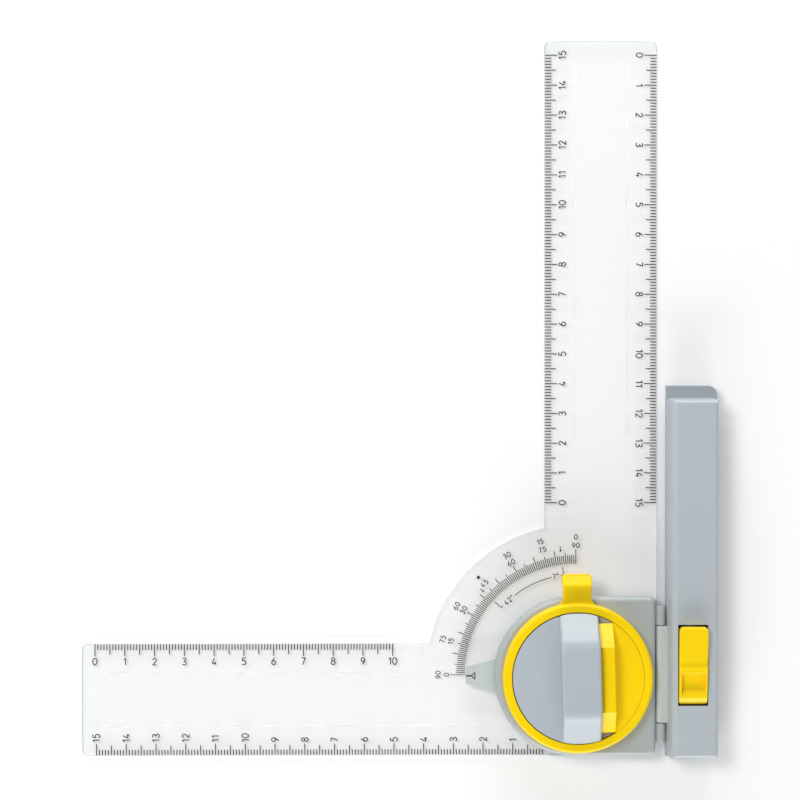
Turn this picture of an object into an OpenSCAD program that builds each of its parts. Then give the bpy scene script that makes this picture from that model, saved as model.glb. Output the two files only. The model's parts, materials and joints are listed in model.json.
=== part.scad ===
// Drafting head for a drawing board. A clear square with two arms turns in a housing, and the
// housing is hinged to a guide bar whose tongue slides in the board's rail.
// X runs to the right, Y up the board and Z away from the paper. The origin is the point where
// the turning axis meets the paper, and all sizes are in millimetres.

/* [Square] */
// Thickness of the clear sheet
sheet_t = 2; // [1.6:0.1:3]
// Length of the upright arm above the turning axis
arm_up_l = 212.5; // [150:0.5:260]
// Length of the level arm to the left of the turning axis
arm_side_l = 165.9; // [120:0.1:220]
// Distance from the turning axis to each arm's inner edge
arm_inner = 10.5; // [8:0.5:13]
// Distance from the turning axis to each arm's outer edge
arm_outer = 27.2; // [26.5:0.1:30]
// Radius of the protractor quadrant
quadrant_r = 50.2; // [48:0.1:56]
// Width of the bevel along a ruling edge
bevel_w = 10; // [6:0.5:12]
// Thickness of the sheet at a bevelled edge
edge_t = 1; // [0.6:0.1:1.4]
// Distance from the turning axis to where the bevels begin
bevel_start = 52.5; // [50:0.5:70]
// Radius of the corners at the arms' ends
arm_corner_r = 1.8; // [0.5:0.1:4]

/* [Housing] */
// Half of the housing's length along Y, and the radius of its round side
housing_half = 26.6; // [26:0.1:28]
// Height of the housing without its collar
housing_h = 5.6; // [5.2:0.1:8]
// Radius of the housing's two square corners
housing_corner_r = 2.2; // [0.5:0.1:5]
// Length of the pointer beyond the housing's round side
pointer_l = 9.5; // [6:0.1:12]
// Width of the pointer at its tip
pointer_tip_w = 6.2; // [3:0.1:8]

/* [Knob] */
// Outer radius of the locking ring
ring_or = 25; // [24.4:0.1:25.6]
// Radius of the round opening in the locking ring
ring_ir = 22; // [21.8:0.1:22.2]
// Reach of the locking ring's tab from the turning axis
tab_reach = 34.7; // [30:0.1:36]
// Width of the tab's tip
tab_w = 9.9; // [6:0.1:12]
// Height of the grip above the knob's disc
grip_h = 8.5; // [6:0.1:12]
// Width of the grip across X
grip_w = 13; // [12.4:0.1:14]
// Length of the flat on top of the grip
grip_flat_l = 23; // [12:0.5:28]
// Angle by which the knob stands off the square's upright
grip_turn = 1.5; // [0:0.1:5]
// Height of the release lever's bar above the knob's disc
bar_h = 5.5; // [3:0.1:6.5]
// Width of the lever's bar that shows beside the grip
bar_w = 4.8; // [3:0.1:6]
// Travel of the release lever
lever_travel = 2.2; // [1:0.1:2.4]

/* [Guide bar] */
// Width of the guide bar
guide_w = 17; // [16.8:0.1:20]
// Length of the shoe above the turning axis
shoe_up = 97.2; // [90:0.1:140]
// Length of the shoe and cover below the turning axis
guide_down = 27; // [26:0.1:40]
// Length of the cover above the turning axis
cover_up = 93; // [80:0.1:135]
// Height of the cover above the shoe
cover_h = 8; // [7.8:0.1:10]
// Thickness of the shoe
shoe_t = 3.5; // [3.3:0.1:5]
// Width of the tongue
tongue_w = 4; // [3:0.1:4.2]
// Depth of the tongue under the shoe
tongue_h = 2.5; // [1.5:0.1:4]
// Thickness of the cover's walls
cover_wall = 1.6; // [1.2:0.1:1.8]

/* [Hinge] */
// Radius of the hinge's barrels
barrel_r = 1.5; // [1.4:0.05:1.6]
// Radius of the hinge pin
pin_r = 0.8; // [0.6:0.05:0.9]
// Length of the middle knuckle
knuckle_l = 32.4; // [24:0.1:34]
// Length of each of the housing's hinge lugs
lug_l = 6.3; // [4:0.1:7]

/* [Brake] */
// Length of the rocker
rocker_l = 25.8; // [24.5:0.1:26]
// Width of the rocker
rocker_w = 9.4; // [8:0.1:9.6]
// Radius of the plunger's stem
plunger_r = 2.8; // [2:0.1:2.9]
// Angle by which the rocker turns
rocker_turn = 6; // [4:0.5:7]

/* [Hidden] */
$fn = 96;

// Colours
grey = [0.70, 0.73, 0.745];
dark_grey = [0.60, 0.635, 0.65];
yellow = [0.98, 0.84, 0.0];
clear = [0.90, 0.95, 0.97, 0.45];
steel = [0.75, 0.76, 0.78];
brass = [0.80, 0.66, 0.35];
white = [0.93, 0.93, 0.91];
black = [0.13, 0.13, 0.14];

// Overrun of every cut past the face that it opens
over = 0.5;
// Gap between pieces that move past each other
move_gap = 0.3;
// Radial clearance of a running fit
run_gap = 0.05;
// Small axial play between stacked pieces
play = 0.1;
// Gap between stacked pieces that turn on each other
stack_gap = 0.2;

// Hub, sheet and washer. The hub's spigot fills the sheet's bore.
hub_flange_r = 14.5;
hub_flange_t = 1.4;
hub_spigot_r = 12;
hub_r = 8;
hub_plate_t = 0.8;
// The level arm's outer bevel runs on under the housing
level_bevel_end = 9;
washer_t = 0.9;
washer_z0 = sheet_t + hub_flange_t + play;
cavity_z1 = washer_z0 + washer_t;
cavity_r = hub_flange_r + move_gap;
sheet_gap = 0.4;

// Housing
housing_z0 = sheet_t + sheet_gap;
housing_z1 = housing_z0 + housing_h;
housing_shift = 1;
ring_lip = 1.4;
collar_r = ring_ir - ring_lip;
collar_h = 1;
bush_wall = 1.5;
bush_flange_r = 11.5;
bush_flange_t = 0.8;
// Ribs and hollows under the housing's square side
pocket_wall = 2;
pocket_roof = 1.6;
pocket_l = 7;

// Hinge, centred a little above the turning axis
hinge_offset = 0.9;
hinge_x = arm_outer + hinge_offset;
hinge_y = 0.7;
hinge_z = housing_z1 - barrel_r;
housing_x1 = hinge_x - barrel_r - move_gap;
lug_y0 = knuckle_l / 2 + move_gap;

// Detent ring on the collar, with one notch every 15 degrees
notch_count = 24;
detent_z0 = housing_z1 + collar_h;
detent_t = 1.2;
detent_or = ring_ir - 2 * stack_gap;
detent_ir = 17;
notch_depth = 1.2;
notch_w = 2.2;
detent_screw_count = 3;
detent_screw_at = (detent_ir + notch_depth + detent_or) / 2 - move_gap;
detent_screw_turn = 37.5;
detent_screw_r = 0.6;
detent_screw_l = 3.6;

// Locking ring, its tab and its cam slot
ring_z0 = housing_z1 + stack_gap;
ring_lip_t = 0.6;
ring_h = 4.7;
ring_z1 = ring_z0 + ring_h;
ring_round = 1.2;
ring_turn_range = 35;
tab_root_w = 17;
tab_flare_r = 3.6;
tab_corner_r = 1.6;
// The tab stands a little off the upright
tab_turn = 0.6;
tab_h = 5.4;
tab_dip = 1.9;
tab_floor = 0.8;
tab_crest = 3.9;
tab_waist = 0.3;
tab_round = 1;
// Clamp slider under the ring, and the cam that draws it inwards
clamp_at = 225;
clamp_travel = 0.4;
clamp_w = 4;
clamp_h = 2;
clamp_roof = 0.9;
clamp_z1 = housing_z1 - clamp_roof;
clamp_pin_r = 0.6;
clamp_pin_at = 23.7;
clamp_pin_h = 1.3;
cam_gap = 0.25;
cam_depth = 1.8;
cam_run_on = 3;
cam_steps = 19;

// Knob: a disc with a hollow grip. The lever's plate lies in a recess of the disc.
knob_r = ring_ir - move_gap;
knob_z0 = detent_z0 + detent_t + stack_gap;
knob_floor_t = 1;
plate_t = 1.3;
plate_z0 = knob_z0 + knob_floor_t + stack_gap;
knob_z1 = plate_z0 + plate_t + play;
grip_shift = 0.6;
grip_x0 = grip_shift - grip_w / 2;
grip_x1 = grip_shift + grip_w / 2;
grip_z1 = knob_z1 + grip_h;
grip_half_l = knob_r - stack_gap;
shoulder_r = 9;

// Release lever: a plate and a bar that slides into the grip
bar_half_l = 18.1;
bar_flat_share = 0.59;
bar_shoulder_r = 0.6;
bar_z1 = knob_z1 + bar_h;
bar_x1 = grip_x1 + bar_w;
bar_tail = 2.9;
bar_x0 = grip_x1 - bar_tail;
grip_back = bar_x0 - lever_travel - 2 * move_gap;
plate_r = ring_ir - 2 * run_gap;
// Bow spring behind the bar
spring_t = 0.3;
spring_half_l = 9;
spring_bow = bar_x0 - grip_back - spring_t - play;
spring_w = 3;
spring_steps = 12;
// Pawl under the plate. It stands clear of the notches' tips.
pawl_w = 1.9;
pawl_l = 4.4;
pawl_clear = 0.15;
pawl_x1 = detent_ir - pawl_clear;
pawl_screw_r = 0.7;
pawl_screw_head_r = 1.3;
pawl_screw_l = 1.5;

// Screws through hub plate, hub and knob, in the knob's own directions
hub_screw_shares = [[-0.3, 0.62], [-0.3, -0.62], [-0.68, 0]];
hub_screw_r = 1;
hub_screw_head_r = 1.9;
hub_screw_tip = 1;

// Spring washer between bush and knob
thrust_w = 1.5;
thrust_r0 = hub_r + move_gap;
thrust_r1 = thrust_r0 + thrust_w;
thrust_t = 0.3;

// Pointer
pointer_reach = housing_shift + housing_half + pointer_l;
pointer_t = 1.5;
pointer_z0 = housing_z0 - play;
pointer_root_w = 10;
pointer_flare_share = 0.82;
pointer_wing = 1.4;
pointer_tip_cut = 0.5;
pointer_tail = 9;
pointer_tail_w = 8;
pointer_screw_r = 0.6;
pointer_screw_head_r = 1.1;
pointer_screw_l = 3.6;
pointer_screw_gap = 5;

// Guide bar
guide_x0 = hinge_x + barrel_r + move_gap;
guide_x1 = guide_x0 + guide_w;
seat_z = tongue_h;
cover_z0 = seat_z + shoe_t;
cover_z1 = cover_z0 + cover_h;
shoe_corner_r = 3;
cover_draft_left = 1;
cover_draft_right = 0.6;
cover_draft_end = 0.6;
cover_round_left = 2;
cover_round_right = 1;
cover_round_end = 1.3;
cover_corner_r = 1.8;
cover_roof = 1.8;
tongue_inset = 2.3;
tongue_x = guide_x1 - tongue_inset - tongue_w / 2;
// Screws from below into bosses in the cover
cover_screw_inset = 6.1;
cover_screw_x = guide_x0 + cover_screw_inset;
cover_screw_up_shares = [0.37, 0.66, 0.94];
cover_screw_down_share = 0.78;
cover_screw_r = 1.1;
cover_screw_head_r = 2.1;
cover_screw_l = 8;
boss_wall = 1.4;
boss_h = cover_h - cover_roof;
// Pocket of the rocker, with a cheek along each side
pocket_gap = move_gap;
cheek_t = 1.2;
rocker_inset = 3.4;
rocker_x0 = guide_x0 + rocker_inset;
rocker_x1 = rocker_x0 + rocker_w;
rocker_x = (rocker_x0 + rocker_x1) / 2;
rocker_up = 17.7;
rocker_y0 = rocker_up - rocker_l;
rocker_proud = 1.6;
rocker_z1 = cover_z1 + rocker_proud;
pivot_drop = 2.8;
// The rocker stands with its upper end raised, and keeps a little of that tilt when pressed
tilt_kept = 2;
rocker_tilt = rocker_turn + tilt_kept;
pocket_end_gap = move_gap + (rocker_proud + pivot_drop) * sin(rocker_tilt);
pivot_y = rocker_up - rocker_l / 2;
pivot_z = cover_z1 - pivot_drop;
rocker_pin_r = 0.95;
rocker_boss_r = 2;
rocker_body_t = 3;
cheek_h = pivot_drop + rocker_pin_r + cheek_t;
rocker_corner_r = 0.9;
// Along the rocker from its lower end: lip, ridge, finger dip, ridge and pad
lip_l = 2.6;
lip_drop = 0.6;
ridge_h = 0.5;
ridge_r = 0.6;
ridge_slope = 34;
dip_l = 8.6;
dip_h = 1.1;
dip_r = 0.7;
rim_w = 0.9;
crest_l = 0.5;
pad_drop = 0.5;
// Plunger under the rocker's nose
nose_arm = 9;
nose_r = 1.2;
plunger_x = rocker_x;
plunger_y = pivot_y + nose_arm;
nose_drop = 2.3;
nose_z = pivot_z - nose_drop;
plunger_flange_w = 1.1;
plunger_flange_r = plunger_r + plunger_flange_w;
plunger_flange_t = 1;
plunger_z1 = nose_z - move_gap;
pad_t = 1;
pad_lift = 0.8;
pad_z0 = seat_z + pad_lift;
brake_spring_t = 0.35;
brake_spring_r0 = plunger_r + stack_gap;
brake_spring_r1 = plunger_flange_r + move_gap;
// Knuckle's foot on the shoe
foot_t = 2;
foot_x0 = guide_x0 + cover_wall + cover_draft_left * foot_t / cover_h + move_gap;
foot_w = 1.2;
foot_tab_l = 5.6;
foot_tab_w = 5.4;
knuckle_screw_r = 0.9;
knuckle_screw_head_r = 1.8;
knuckle_screw_head_t = 1;
knuckle_screw_l = 3.4;

// Points of an arc about a centre, from one angle to another
function arc(centre, r, from, to, steps = 8) = [
    for (i = [0 : steps])
        let (angle = from + (to - from) * i / steps)
            centre + r * [cos(angle), sin(angle)]
];

// Box between two opposite corners
module block(lo, hi) {
    translate(lo)
        cube(hi - lo);
}

// Upright cylinder between two heights
module disc(r, z0, z1) {
    translate([0, 0, z0])
        cylinder(r = r, h = z1 - z0);
}

// Cylinder along X between two places
module rod_x(r, x0, x1, y, z) {
    translate([x0, y, z])
        rotate([0, 90, 0])
            cylinder(r = r, h = x1 - x0);
}

// Cylinder along Y between two places
module rod_y(r, y0, y1, x, z) {
    translate([x, y0, z])
        rotate([-90, 0, 0])
            cylinder(r = r, h = y1 - y0);
}

// Outline in Y and Z, extruded along X from x0 to x1
module along_x(x0, x1) {
    translate([x0, 0, 0])
        rotate([90, 0, 90])
            linear_extrude(height = x1 - x0)
                children();
}

// Outline in X and Z, extruded along Y from y0 to y1
module along_y(y0, y1) {
    translate([0, y1, 0])
        rotate([90, 0, 0])
            linear_extrude(height = y1 - y0)
                children();
}

// Countersunk screw that points up, its head's face at z = 0
module sunk_screw(r, head_r, l) {
    cylinder(r1 = head_r, r2 = r, h = head_r - r);
    cylinder(r = r, h = l);
}

// Room for such a screw in a piece that it passes through
module sunk_hole(r, head_r, l) {
    translate([0, 0, -over])
        cylinder(r = head_r + play, h = over);
    cylinder(r1 = head_r + play, r2 = r + play, h = head_r - r);
    cylinder(r = r + play, h = l);
}

// Guide bar

module cover_screw_places() {
    for (share = cover_screw_up_shares)
        translate([cover_screw_x, share * cover_up, 0])
            children();
    translate([cover_screw_x, -cover_screw_down_share * guide_down, 0])
        children();
}

module knuckle_screw_places() {
    for (side = [-1, 1])
        translate([foot_x0 + foot_tab_w / 2, foot_tab_y(side), 0])
            children();
}

// Places of the knuckle's two foot tabs, each past one end of the rocker
function foot_tab_y(side) = (side > 0 ? rocker_up : rocker_y0)
    + side * (foot_tab_l / 2 + 2 * pocket_end_gap);

module plunger_place() {
    translate([plunger_x, plunger_y, 0])
        children();
}

module shoe_outline() {
    r = shoe_corner_r;
    translate([guide_x0, -guide_down])
        square([guide_w, guide_down + shoe_up - r]);
    translate([guide_x0, 0])
        square([guide_w - r, shoe_up]);
    translate([guide_x1 - r, shoe_up - r])
        circle(r = r);
}

module guide_shoe() {
    color(dark_grey)
        difference() {
            union() {
                translate([0, 0, seat_z])
                    linear_extrude(height = shoe_t)
                        shoe_outline();
                block([tongue_x - tongue_w / 2, -guide_down, 0],
                      [tongue_x + tongue_w / 2, shoe_up - shoe_corner_r, seat_z]);
            }
            cover_screw_places()
                translate([0, 0, seat_z])
                    sunk_hole(cover_screw_r, cover_screw_head_r, shoe_t + over);
            knuckle_screw_places()
                disc(knuckle_screw_r, cover_z0 - knuckle_screw_l + foot_t, cover_z0 + over);
            plunger_place()
                disc(plunger_r + run_gap, seat_z - over, cover_z0 + over);
        }
}

// Top view of the cover, with rounded upright corners
module cover_outline() {
    r = cover_corner_r;
    translate([guide_x0 + r, -guide_down])
        square([guide_w - 2 * r, guide_down + cover_up]);
    translate([guide_x0, r - guide_down])
        square([guide_w, guide_down + cover_up - 2 * r]);
    for (x = [guide_x0 + r, guide_x1 - r])
        for (y = [r - guide_down, cover_up - r])
            translate([x, y])
                circle(r = r);
}

// Cross section of the cover across X, less a margin all round
module cover_section(margin, top, foot) {
    left_x = guide_x0 + cover_draft_left + margin;
    right_x = guide_x1 - cover_draft_right - margin;
    left_r = max(cover_round_left - margin, play);
    right_r = max(cover_round_right - margin, play);
    polygon(concat(
        [[guide_x0 + margin, foot], [guide_x1 - margin, foot]],
        arc([right_x - right_r, top - right_r], right_r, 0, 90),
        arc([left_x + left_r, top - left_r], left_r, 90, 180)
    ));
}

// Cross section of the cover along Y, less the same margin
module cover_long_section(margin, top, foot) {
    low_y = -guide_down + cover_draft_end + margin;
    high_y = cover_up - cover_draft_end - margin;
    r = max(cover_round_end - margin, play);
    polygon(concat(
        [[-guide_down + margin, foot], [cover_up - margin, foot]],
        arc([high_y - r, top - r], r, 0, 90),
        arc([low_y + r, top - r], r, 90, 180)
    ));
}

module cover_solid(margin, top, foot) {
    intersection() {
        along_y(-guide_down, cover_up)
            cover_section(margin, top, foot);
        along_x(guide_x0, guide_x1)
            cover_long_section(margin, top, foot);
        translate([0, 0, foot])
            linear_extrude(height = top - foot)
                cover_outline();
    }
}

module guide_cover() {
    pocket_y0 = rocker_y0 - pocket_end_gap;
    pocket_y1 = rocker_up + pocket_gap;
    color(grey)
        difference() {
            union() {
                difference() {
                    cover_solid(0, cover_z1, cover_z0);
                    cover_solid(cover_wall, cover_z1 - cover_roof, cover_z0 - over);
                }
                intersection() {
                    cover_screw_places()
                        disc(cover_screw_r + boss_wall, cover_z0 + play, cover_z0 + boss_h + play);
                    cover_solid(0, cover_z1, cover_z0);
                }
                for (x = [rocker_x0 - pocket_gap - cheek_t, rocker_x1 + pocket_gap])
                    block([x, pocket_y0, cover_z1 - cheek_h],
                          [x + cheek_t, pocket_y1, cover_z1 - cover_roof / 2]);
            }
            block([rocker_x0 - pocket_gap, pocket_y0, cover_z1 - cheek_h - over],
                  [rocker_x1 + pocket_gap, pocket_y1, cover_z1 + over]);
            block([guide_x0 - over, hinge_y - knuckle_l / 2 - play, cover_z0 - over],
                  [foot_x0, hinge_y + knuckle_l / 2 + play, hinge_z + barrel_r + play]);
            cover_screw_places()
                disc(cover_screw_r, cover_z0 - over, cover_z0 + cover_screw_l - shoe_t + play);
            rod_x(rocker_pin_r, rocker_x0 - pocket_gap - cheek_t, rocker_x1 + pocket_gap + cheek_t,
                  pivot_y, pivot_z);
        }
}

module cover_screws() {
    color(steel)
        cover_screw_places()
            translate([0, 0, seat_z])
                sunk_screw(cover_screw_r, cover_screw_head_r, cover_screw_l);
}

module hinge_knuckle() {
    y0 = hinge_y - knuckle_l / 2;
    y1 = hinge_y + knuckle_l / 2;
    foot_y0 = min(y0, foot_tab_y(-1) - foot_tab_l / 2);
    foot_y1 = max(y1, foot_tab_y(1) + foot_tab_l / 2);
    color(grey)
        difference() {
            union() {
                rod_y(barrel_r, y0, y1, hinge_x, hinge_z);
                block([hinge_x, y0, cover_z0], [foot_x0, y1, hinge_z + barrel_r]);
                block([foot_x0, foot_y0, cover_z0], [foot_x0 + foot_w, foot_y1, cover_z0 + foot_t]);
                for (side = [-1, 1])
                    translate([foot_x0, foot_tab_y(side) - foot_tab_l / 2, cover_z0])
                        cube([foot_tab_w, foot_tab_l, foot_t]);
            }
            rod_y(pin_r + run_gap, y0 - over, y1 + over, hinge_x, hinge_z);
            knuckle_screw_places()
                disc(knuckle_screw_r + play, cover_z0 - over, cover_z0 + foot_t + over);
        }
}

module knuckle_screws() {
    color(steel)
        knuckle_screw_places() {
            disc(knuckle_screw_r, cover_z0 + foot_t - knuckle_screw_l, cover_z0 + foot_t);
            disc(knuckle_screw_head_r, cover_z0 + foot_t, cover_z0 + foot_t + knuckle_screw_head_t);
        }
}

module rocker_pin() {
    color(steel)
        rod_x(rocker_pin_r, rocker_x0 - pocket_gap - cheek_t, rocker_x1 + pocket_gap + cheek_t,
              pivot_y, pivot_z);
}

module brake_spring() {
    lift = plunger_z1 - plunger_flange_t - cover_z0;
    color(steel)
        translate([0, 0, cover_z0])
            plunger_place()
                rotate_extrude()
                    polygon([
                        [brake_spring_r1, 0],
                        [brake_spring_r1, brake_spring_t],
                        [brake_spring_r0, lift],
                        [brake_spring_r0, lift - brake_spring_t]
                    ]);
}

// Side view of the rocker before its tilt: lip, ridge, rim beside the dip, ridge and pad. The
// ridges slope down towards the rocker's upper end, and the pad falls away towards its ridge.
module rocker_section() {
    low_ridge_y = rocker_y0 + lip_l;
    high_ridge_y = low_ridge_y + dip_l;
    ridge_z = rocker_z1 + ridge_h - ridge_r;
    low = rocker_z1 - rocker_body_t;
    foot_y = high_ridge_y + crest_l + ridge_r * sin(ridge_slope)
        + (ridge_h + pad_drop - ridge_r * (1 - cos(ridge_slope))) / tan(ridge_slope);
    pad_l = rocker_up - foot_y;
    pad_r = (pow(pad_l, 2) + pow(pad_drop, 2)) / (2 * pad_drop);
    polygon(concat(
        [[rocker_y0, low], [rocker_y0, rocker_z1 - lip_drop]],
        arc([low_ridge_y, ridge_z], ridge_r, 120, 90, 3),
        arc([high_ridge_y, ridge_z], ridge_r, 120, 90, 3),
        arc([high_ridge_y + crest_l, ridge_z], ridge_r, 90, 90 - ridge_slope, 4),
        arc([rocker_up, rocker_z1 - pad_r], pad_r, 90 + asin(pad_l / pad_r), 90),
        [[rocker_up, low]]
    ));
}

// Side view of the finger dip: its lower wall slopes up to the lower ridge
module dip_section() {
    low_y = rocker_y0 + lip_l + ridge_r * sin(ridge_slope);
    high_y = rocker_y0 + lip_l + dip_l - ridge_r;
    floor_z = rocker_z1 - dip_h;
    top_z = rocker_z1 + ridge_h + over;
    crest_z = rocker_z1 + ridge_h - ridge_r * (1 - cos(ridge_slope));
    foot_y = low_y + (crest_z - floor_z) / tan(ridge_slope);
    inset = dip_r * tan(ridge_slope / 2);
    polygon(concat(
        [[high_y, top_z], [low_y - (top_z - crest_z) / tan(ridge_slope), top_z]],
        arc([foot_y + inset, floor_z + dip_r], dip_r, 270 - ridge_slope, 270),
        arc([high_y - dip_r, floor_z + dip_r], dip_r, 270, 360)
    ));
}

// Top view of the rocker
module rocker_outline() {
    r = rocker_corner_r;
    translate([rocker_x0 + r, rocker_y0])
        square([rocker_w - 2 * r, rocker_l]);
    translate([rocker_x0, rocker_y0 + r])
        square([rocker_w, rocker_l - 2 * r]);
    for (x = [rocker_x0 + r, rocker_x1 - r])
        for (y = [rocker_y0 + r, rocker_up - r])
            translate([x, y])
                circle(r = r);
}

// Turns the rocker's body about its pivot to the tilt that it has at rest
module rocker_tilted() {
    translate([0, pivot_y, pivot_z])
        rotate([rocker_tilt, 0, 0])
            translate([0, -pivot_y, -pivot_z])
                children();
}

module brake_rocker() {
    low = rocker_z1 - rocker_body_t;
    color(yellow)
        difference() {
            union() {
                rocker_tilted()
                    difference() {
                        intersection() {
                            along_x(rocker_x0, rocker_x1)
                                rocker_section();
                            translate([0, 0, low])
                                linear_extrude(height = rocker_body_t + ridge_h)
                                    rocker_outline();
                        }
                        along_x(rocker_x0 + rim_w, rocker_x1 - rim_w)
                            dip_section();
                    }
                rod_x(rocker_boss_r, rocker_x0, rocker_x1, pivot_y, pivot_z);
                along_x(plunger_x - plunger_r, plunger_x + plunger_r)
                    translate([plunger_y, nose_z + nose_r]) {
                        circle(r = nose_r);
                        translate([-nose_r, 0])
                            square([2 * nose_r, rocker_z1 - play - nose_z - nose_r]);
                    }
            }
            rod_x(rocker_pin_r + run_gap, rocker_x0 - over, rocker_x1 + over, pivot_y, pivot_z);
        }
}

module brake_plunger() {
    color(white)
        plunger_place() {
            disc(plunger_r, pad_z0 + pad_t, plunger_z1);
            disc(plunger_flange_r, plunger_z1 - plunger_flange_t, plunger_z1);
        }
}

module brake_pad() {
    color(black)
        plunger_place()
            disc(plunger_r - play, pad_z0, pad_z0 + pad_t);
}

// Housing

module housing_outline() {
    r = housing_corner_r;
    intersection() {
        translate([-housing_shift, 0])
            circle(r = housing_half);
        translate([-housing_shift - housing_half, -housing_half])
            square([housing_half + housing_shift, 2 * housing_half]);
    }
    translate([-housing_shift, -housing_half])
        square([housing_x1 + housing_shift - r, 2 * housing_half]);
    translate([0, r - housing_half])
        square([housing_x1, 2 * (housing_half - r)]);
    for (side = [-1, 1])
        translate([housing_x1 - r, side * (housing_half - r)])
            circle(r = r);
}

// Outline of the pointer, with its tip at the left and its tail under the housing
module pointer_outline(tail_gap) {
    root_x = -housing_shift - housing_half;
    flare_x = -pointer_reach + pointer_flare_share * pointer_l;
    wing_x = root_x + pointer_wing;
    wing_y = pointer_root_w / 2 + pointer_wing;
    polygon([
        [-pointer_reach, -pointer_tip_w / 2 + pointer_tip_cut],
        [pointer_tip_cut - pointer_reach, -pointer_tip_w / 2],
        [flare_x, -pointer_root_w / 2],
        [wing_x, -wing_y],
        [wing_x + pointer_wing, -wing_y],
        [wing_x + pointer_wing, -pointer_tail_w / 2 - tail_gap],
        [root_x + pointer_tail + tail_gap, -pointer_tail_w / 2 - tail_gap],
        [root_x + pointer_tail + tail_gap, pointer_tail_w / 2 + tail_gap],
        [wing_x + pointer_wing, pointer_tail_w / 2 + tail_gap],
        [wing_x + pointer_wing, wing_y],
        [wing_x, wing_y],
        [flare_x, pointer_root_w / 2],
        [pointer_tip_cut - pointer_reach, pointer_tip_w / 2],
        [-pointer_reach, pointer_tip_w / 2 - pointer_tip_cut]
    ]);
}

module pointer_screw_places() {
    for (side = [-1, 1])
        translate([pointer_tail - housing_shift - housing_half - pointer_screw_gap,
                   side * pointer_screw_gap / 2, pointer_z0])
            children();
}

module hinge_lug(y0, y1) {
    rod_y(barrel_r, y0, y1, hinge_x, hinge_z);
    block([housing_x1 - over, y0, hinge_z - barrel_r], [hinge_x, y1, hinge_z]);
}

// Screws that hold the notched ring, spread clear of the clamp
module detent_screw_places() {
    for (i = [0 : detent_screw_count - 1])
        rotate([0, 0, 360 / detent_screw_count * i + detent_screw_turn])
            translate([detent_screw_at, 0, detent_z0 + detent_t])
                rotate([180, 0, 0])
                    children();
}

// Frame whose X axis points from the turning axis along the clamp slider
module clamp_frame() {
    rotate([0, 0, clamp_at])
        children();
}

module head_base() {
    slot_w = clamp_w + 2 * play;
    color(grey)
        difference() {
            union() {
                translate([0, 0, housing_z0])
                    linear_extrude(height = housing_h)
                        housing_outline();
                disc(collar_r, housing_z1 - over, detent_z0);
                hinge_lug(hinge_y + lug_y0, hinge_y + lug_y0 + lug_l);
                hinge_lug(hinge_y - lug_y0 - lug_l, hinge_y - lug_y0);
            }
            disc(cavity_r, housing_z0 - over, cavity_z1);
            disc(hub_r + bush_wall, cavity_z1 - over, detent_z0 + over);
            disc(bush_flange_r + play, housing_z1, detent_z0 + over);
            clamp_frame() {
                block([hub_r, -slot_w / 2, cavity_z1 - over],
                      [clamp_pin_at + clamp_pin_r + move_gap, slot_w / 2, clamp_z1 + play]);
                block([clamp_pin_at - clamp_travel - clamp_pin_r - move_gap,
                       -clamp_pin_r - move_gap, clamp_z1 - over],
                      [clamp_pin_at + clamp_pin_r + move_gap,
                       clamp_pin_r + move_gap, housing_z1 + over]);
            }
            translate([0, 0, housing_z0 - over])
                linear_extrude(height = pointer_t - play + over)
                    pointer_outline(play);
            pointer_screw_places()
                disc(pointer_screw_r, pointer_t / 2, pointer_screw_l + play);
            for (side = [-1, 1])
                rod_y(pin_r, hinge_y + side * (lug_y0 + lug_l / 2) - lug_l / 2 - over,
                      hinge_y + side * (lug_y0 + lug_l / 2) + lug_l / 2 + over, hinge_x, hinge_z);
            detent_screw_places()
                disc(detent_screw_r, detent_t / 2, detent_screw_l + play);
            for (side = [-1, 1])
                translate([housing_x1 - pocket_wall - pocket_l,
                           side * (housing_half - pocket_wall - pocket_l / 2) - pocket_l / 2,
                           housing_z0 - over])
                    cube([pocket_l, pocket_l, housing_h - pocket_roof + over]);
        }
}

module index_pointer() {
    color(grey)
        difference() {
            translate([0, 0, pointer_z0])
                linear_extrude(height = pointer_t)
                    pointer_outline(0);
            pointer_screw_places()
                sunk_hole(pointer_screw_r, pointer_screw_head_r, pointer_t + over);
        }
}

module pointer_screws() {
    color(steel)
        pointer_screw_places()
            sunk_screw(pointer_screw_r, pointer_screw_head_r, pointer_screw_l);
}

module hinge_pin() {
    color(steel)
        rod_y(pin_r, hinge_y - lug_y0 - lug_l, hinge_y + lug_y0 + lug_l, hinge_x, hinge_z);
}

module bearing_bush() {
    color(brass)
        difference() {
            union() {
                disc(hub_r + bush_wall, cavity_z1, housing_z1);
                disc(bush_flange_r, housing_z1, housing_z1 + bush_flange_t);
            }
            disc(hub_r + run_gap, cavity_z1 - over, housing_z1 + bush_flange_t + over);
            clamp_frame()
                block([0, -clamp_w / 2 - play, cavity_z1 - over],
                      [hub_r + bush_wall + over, clamp_w / 2 + play, clamp_z1 + play]);
        }
}

module slide_washer() {
    color(white)
        difference() {
            disc(hub_flange_r, washer_z0, cavity_z1);
            disc(hub_r + bush_wall, washer_z0 - over, cavity_z1 + over);
        }
}

module detent_ring() {
    color(steel)
        difference() {
            disc(detent_or, detent_z0, detent_z0 + detent_t);
            disc(detent_ir, detent_z0 - over, detent_z0 + detent_t + over);
            for (i = [0 : notch_count - 1])
                rotate([0, 0, 360 / notch_count * i + grip_turn])
                    block([detent_ir - over, -notch_w / 2, detent_z0 - over],
                          [detent_ir + notch_depth, notch_w / 2, detent_z0 + detent_t + over]);
            detent_screw_places()
                sunk_hole(detent_screw_r, 2 * detent_screw_r, detent_t + over);
        }
}

module detent_screws() {
    color(steel)
        detent_screw_places()
            sunk_screw(detent_screw_r, 2 * detent_screw_r, detent_screw_l);
}

// Locking ring and clamp

// Radius of the cam's middle line at an angle past the slider, in degrees
function cam_at(angle) = clamp_pin_at - clamp_travel * angle / ring_turn_range;

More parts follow.
